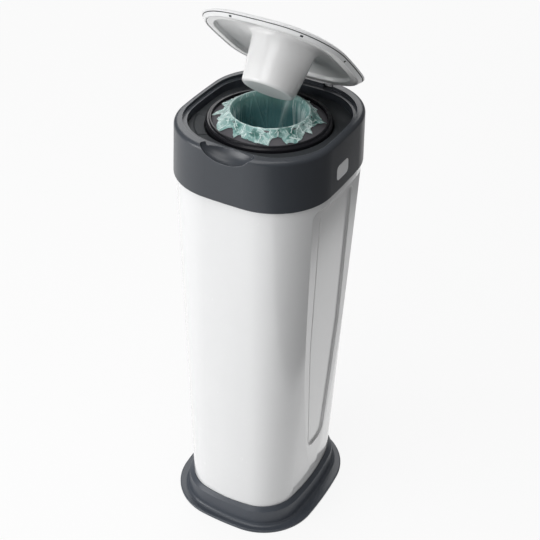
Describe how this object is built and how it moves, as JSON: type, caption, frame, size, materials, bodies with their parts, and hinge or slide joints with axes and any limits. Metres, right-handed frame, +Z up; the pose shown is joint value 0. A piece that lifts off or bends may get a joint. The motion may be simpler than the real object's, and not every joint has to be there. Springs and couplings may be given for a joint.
{
  "type": "nappy bin",
  "caption": "Tall tapered bin for nappies with a hinged lid and plunger, a film cassette on a turntable, and a tilting top unit on a flanged foot.",
  "frame": {"origin": "centre of the foot's underside, on the floor", "axes": "+Z up along the bin's height, -Y the front with the finger recess, +X the side with the release button, +Y the side with the lid's hinge"},
  "size_m": [0.2309, 0.256, 0.8008],
  "materials": {
    "base_slate": "satin slate grey",
    "foot_rubber": "matte black",
    "screw_steel": "zinc plated",
    "pin_steel": "ground steel",
    "sleeve_white": "gloss white",
    "collar_grey": "satin dark grey",
    "deck_black": "satin near black",
    "finger_grey": "matte grey",
    "cutter_plastic": "matte grey",
    "cutter_slide": "light grey",
    "blade_steel": "bright steel",
    "button_grey": "satin light grey",
    "spring_steel": "spring steel",
    "ring_black": "gloss black",
    "cassette_dark": "satin near black",
    "film_teal": "thin translucent teal film",
    "lid_white": "satin white"
  },
  "bodies": {
    "bin": {"base": "base_slate", "feet": "foot_rubber", "base_screws": "screw_steel", "body_shell": "sleeve_white", "tilt_pin": "pin_steel"},
    "top_unit": {"collar": "collar_grey", "lid_pins": "pin_steel", "deck": "deck_black", "chassis": "deck_black", "frame_screws": "screw_steel", "finger_ring": "finger_grey", "grip_screws": "screw_steel", "cutter_rail": "cutter_plastic", "cutter_screws": "screw_steel"},
    "cutter": {"cutter_slide": "cutter_slide", "cutter_blade": "blade_steel"},
    "release_button": {"release_button": "button_grey", "latch_hook": "deck_black", "button_spring": "spring_steel"},
    "turntable": {"turntable": "ring_black", "cassette_tub": "cassette_dark", "cassette_cap": "cassette_dark", "film_pack": "film_teal", "film": "film_teal", "film_tail": "film_teal"},
    "lid": {"lid_shell": "lid_white", "lid_liner": "lid_white", "plunger": "lid_white"}
  },
  "joints": [
    {"name": "top_tilt", "type": "hinge", "parent": "bin", "child": "top_unit", "pos_m": [-0.1129, 0, 0.577], "axis": [0, -1, 0], "range_deg": [0, 90]},
    {"name": "lid_hinge", "type": "hinge", "parent": "top_unit", "child": "lid", "pos_m": [0, 0.115, 0.648], "axis": [-1, 0, 0], "range_deg": [-42, 50]},
    {"name": "turntable_twist", "type": "hinge", "parent": "top_unit", "child": "turntable", "pos_m": [0, -0.003, 0.62], "axis": [0, 0, 1], "continuous": true},
    {"name": "release_press", "type": "slide", "parent": "top_unit", "child": "release_button", "axis": [-1, 0, 0], "range_m": [0, 0.004], "stiffness_N_per_m": 800, "springref_m": -0.002, "deforming": ["button_spring"]},
    {"name": "cutter_slide", "type": "slide", "parent": "top_unit", "child": "cutter", "axis": [1, 0, 0], "range_m": [0, 0.096]}
  ]
}
